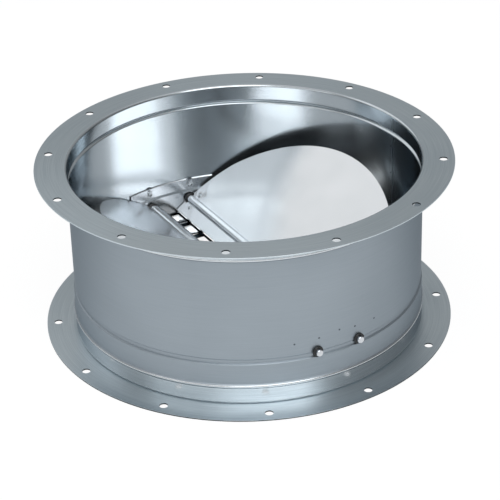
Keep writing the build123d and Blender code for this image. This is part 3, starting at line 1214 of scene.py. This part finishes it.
@dataclass
class Studio:
    """Floor, surroundings, lamps and camera."""

    floor_half: float = 8.0
    # Keeps the floor just clear of the lower flange's face
    floor_gap: float = 0.3 * MM
    floor_colour: str = "#E6E7E8"
    # Painted shade: the paper's colour inside the duct
    painted_shade_colour: str = "#3A3C3E"
    # How much of the floor's look is its own white, and how bright that is; the rest takes shadows
    white_share: float = 0.86
    white_level: float = 1.07
    # Inside the first radius the floor takes a painted shade, and from the second on it is open
    painted_shade_radius: float = 203 * MM
    painted_shade_edge: float = 213 * MM
    # Painted light: round cards on the floor inside the duct that glow for the metal
    painted_light_cards: list[PaintedLightCard] = field(default_factory=lambda: [
        PaintedLightCard(middle=(-154 * MM, 33 * MM, 0.0), radius=13 * MM, level=2.4),
        PaintedLightCard(middle=(-181 * MM, 32 * MM, 0.0), radius=9 * MM, level=2.4),
        PaintedLightCard(middle=(-108 * MM, 40 * MM, 0.0), radius=26 * MM, level=0.55),
    ])
    rear_shade_level: float = 0.74
    # How far behind the damper's middle the floor is dimmest, and how far in front it is brightest, as
    # painted shade in what the metal mirrors
    dim_from: float = -0.15
    bright_from: float = 0.3
    horizon: float = 0.28
    walls: float = 0.40
    ceiling: float = 0.34
    # Heights in the surroundings, as the sine of the elevation
    walls_from: float = 0.45
    ceiling_from: float = 0.65
    ceiling_full: float = 0.97
    camera: StudioCamera = field(default_factory=StudioCamera)
    patches: list[Patch] = field(default_factory=lambda: [
        Patch(azimuth=62, elevation=20, full_angle=20, none_angle=48, level=-0.16),
    ])
    soft_boxes: list[SoftBox] = field(default_factory=lambda: [
        SoftBox("rear_box", azimuth=206, elevation=38, width=3.0, height=2.0, radiance=0.62),
        SoftBox("low_left_box", azimuth=292, elevation=30, width=2.5, height=0.9, radiance=1.05),
        SoftBox("low_front_box", azimuth=342, elevation=30, width=3.0, height=0.9, radiance=0.9),
        SoftBox("front_box", azimuth=347, elevation=54, width=2.3, height=2.0, radiance=2.25),
    ])

    def build(self) -> None:
        """Set up everything round the damper."""
        self.build_floor()
        self.build_world()
        for box in self.soft_boxes:
            box.build()
        self.camera.build()
        bpy.context.scene.view_settings.view_transform = "Standard"
        log.info("studio ready with %d soft boxes", len(self.soft_boxes))

    def build_floor(self) -> None:
        """Lay the paper floor under the damper."""
        half = self.floor_half
        mesh = bpy.data.meshes.new("floor")
        corners = [(-half, -half, 0), (half, -half, 0), (half, half, 0), (-half, half, 0)]
        mesh.from_pydata(corners, [], [(0, 1, 2, 3)])
        mesh.materials.append(self.paper())
        floor = into_scene("floor", mesh)
        floor.location.z = -self.floor_gap

    def paper(self) -> Material:
        """Make the floor's paper: white to the camera, with painted shade inside the duct for the metal and
        the bounced light, and cards of painted light there.

        Returns:
            The finished material.
        """
        made = new_material("studio_paper")
        tree = made.node_tree
        path = add_node(tree, "ShaderNodeLightPath").outputs
        mirrored = add_node(
            tree, "ShaderNodeMath", {"operation": "MAXIMUM"},
            {0: path["Is Glossy Ray"], 1: path["Is Transmission Ray"]},
        ).outputs[0]
        outside_painted_shade, on_painted_light, painted_glow = self.open_floor(tree)
        lit = add_node(
            tree, "ShaderNodeMath", {"operation": "MAXIMUM"}, {0: outside_painted_shade, 1: on_painted_light},
        ).outputs[0]
        seen_by_metal = add_node(
            tree, "ShaderNodeMath", {"operation": "MULTIPLY"}, {0: mirrored, 1: lit},
        ).outputs[0]
        open_level = add_node(
            tree, "ShaderNodeMath", {"operation": "MULTIPLY"},
            {0: self.rear_painted_shade(tree), 1: self.white_level},
        ).outputs[0]
        mirrored_level = add_node(
            tree, "ShaderNodeMix", {"data_type": "FLOAT"},
            {0: on_painted_light, 2: open_level, 3: painted_glow},
        ).outputs[0]
        brightness = add_node(
            tree, "ShaderNodeMix", {"data_type": "FLOAT"},
            {0: path["Is Camera Ray"], 2: mirrored_level, 3: self.white_level},
        ).outputs[0]
        seen = add_node(
            tree, "ShaderNodeMath", {"operation": "MAXIMUM"},
            {0: path["Is Camera Ray"], 1: seen_by_metal},
        ).outputs[0]
        share = add_node(
            tree, "ShaderNodeMath", {"operation": "MULTIPLY"}, {0: seen, 1: self.white_share},
        ).outputs[0]
        paper_colour = add_node(
            tree, "ShaderNodeMix", {"data_type": "RGBA"},
            {0: outside_painted_shade, 6: linear(self.painted_shade_colour), 7: linear(self.floor_colour)},
        ).outputs[2]
        shaded = add_node(tree, "ShaderNodeBsdfDiffuse", None, {"Color": paper_colour}).outputs[0]
        white = add_node(
            tree, "ShaderNodeEmission", None, {"Color": linear("#FFFFFF"), "Strength": brightness},
        ).outputs[0]
        mixed = add_node(tree, "ShaderNodeMixShader", None, {0: share, 1: shaded, 2: white}).outputs[0]
        add_node(tree, "ShaderNodeOutputMaterial", None, {"Surface": mixed})
        return made

    def open_floor(self, tree: NodeTree) -> tuple[NodeSocket, ...]:
        """Find where the floor is free of the painted shade, and where painted light glows inside the duct.

        Args:
            tree: The floor's node tree.

        Returns:
            The sockets of a mask of the floor outside the painted shade round the duct, a mask of the
            painted light cards inside it, and how bright the cards glow.
        """
        place = add_node(tree, "ShaderNodeTexCoord").outputs[Coordinates.OBJECT.value]
        reach = add_node(tree, "ShaderNodeVectorMath", {"operation": "LENGTH"}, {0: place}).outputs["Value"]
        outside_painted_shade = add_node(
            tree, "ShaderNodeMapRange", {"interpolation_type": "SMOOTHSTEP"},
            {"Value": reach, "From Min": self.painted_shade_radius, "From Max": self.painted_shade_edge},
        ).outputs["Result"]
        on_painted_light, glow = 0.0, 0.0
        for card in self.painted_light_cards:
            mask = card.mask(tree, place)
            level = add_node(
                tree, "ShaderNodeMath", {"operation": "MULTIPLY"}, {0: mask, 1: card.level},
            ).outputs[0]
            on_painted_light = add_node(
                tree, "ShaderNodeMath", {"operation": "MAXIMUM"}, {0: on_painted_light, 1: mask},
            ).outputs[0]
            glow = add_node(tree, "ShaderNodeMath", {"operation": "MAXIMUM"}, {0: glow, 1: level}).outputs[0]
        return outside_painted_shade, on_painted_light, glow

    def rear_painted_shade(self, tree: NodeTree) -> NodeSocket:
        """Paint shade into the floor that the metal mirrors: it falls off behind the damper.

        Args:
            tree: The floor's node tree.

        Returns:
            The socket of a factor, 1 in front.
        """
        place = add_node(tree, "ShaderNodeTexCoord").outputs[Coordinates.OBJECT.value]
        forward = add_node(
            tree, "ShaderNodeVectorMath", {"operation": "DOT_PRODUCT"},
            {0: place, 1: toward(self.camera.azimuth, 0)},
        ).outputs["Value"]
        return add_node(
            tree, "ShaderNodeMapRange", {"interpolation_type": "SMOOTHSTEP"},
            {"Value": forward, "From Min": self.dim_from, "From Max": self.bright_from,
             "To Min": self.rear_shade_level, "To Max": 1.0},
        ).outputs["Result"]

    def build_world(self) -> None:
        """Surround the damper: grey walls, darker low down, a lighter ceiling, white to the camera."""
        world = bpy.data.worlds.new("studio")
        world.use_nodes = True
        bpy.context.scene.world = world
        tree = world.node_tree
        tree.nodes.clear()
        direction = add_node(tree, "ShaderNodeTexCoord").outputs[Coordinates.GENERATED.value]
        height = add_node(tree, "ShaderNodeSeparateXYZ", None, {"Vector": direction}).outputs["Z"]
        low = add_node(
            tree, "ShaderNodeMapRange", {"interpolation_type": "SMOOTHSTEP"},
            {"Value": height, "From Min": 0.0, "From Max": self.walls_from,
             "To Min": self.horizon, "To Max": self.walls},
        ).outputs["Result"]
        overhead = add_node(
            tree, "ShaderNodeMapRange", {"interpolation_type": "SMOOTHSTEP"},
            {"Value": height, "From Min": self.ceiling_from, "From Max": self.ceiling_full,
             "To Min": 0.0, "To Max": self.ceiling},
        ).outputs["Result"]
        level = add_node(tree, "ShaderNodeMath", {"operation": "ADD"}, {0: low, 1: overhead}).outputs[0]
        for patch in self.patches:
            added = patch.strength(tree, direction)
            level = add_node(tree, "ShaderNodeMath", {"operation": "ADD"}, {0: level, 1: added}).outputs[0]
        path = add_node(tree, "ShaderNodeLightPath").outputs
        seen = add_node(
            tree, "ShaderNodeMix", {"data_type": "FLOAT"},
            {0: path["Is Camera Ray"], 2: level, 3: 1.0},
        ).outputs[0]
        sky = add_node(
            tree, "ShaderNodeBackground", None, {"Color": linear("#FFFFFF"), "Strength": seen},
        )
        add_node(tree, "ShaderNodeOutputWorld", None, {"Surface": sky.outputs[0]})


def write_sizes() -> None:
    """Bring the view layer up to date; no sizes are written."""
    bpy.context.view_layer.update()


def main() -> None:
    """Dress the damper, roll its shell, lay the weld marks and set the studio."""
    logging.basicConfig(level=logging.INFO, format="%(message)s")
    Damper().dress()
    shell = Shell()
    shell.build()
    WeldMarks(
        wall_outside=shell.bore + shell.tube_sheet,
        wall_inside=shell.bore,
        plate_face=shell.bore - shell.lap_clearance - shell.plate_sheet,
    ).build()
    Studio().build()
    write_sizes()


if __name__ == "__main__":
    main()
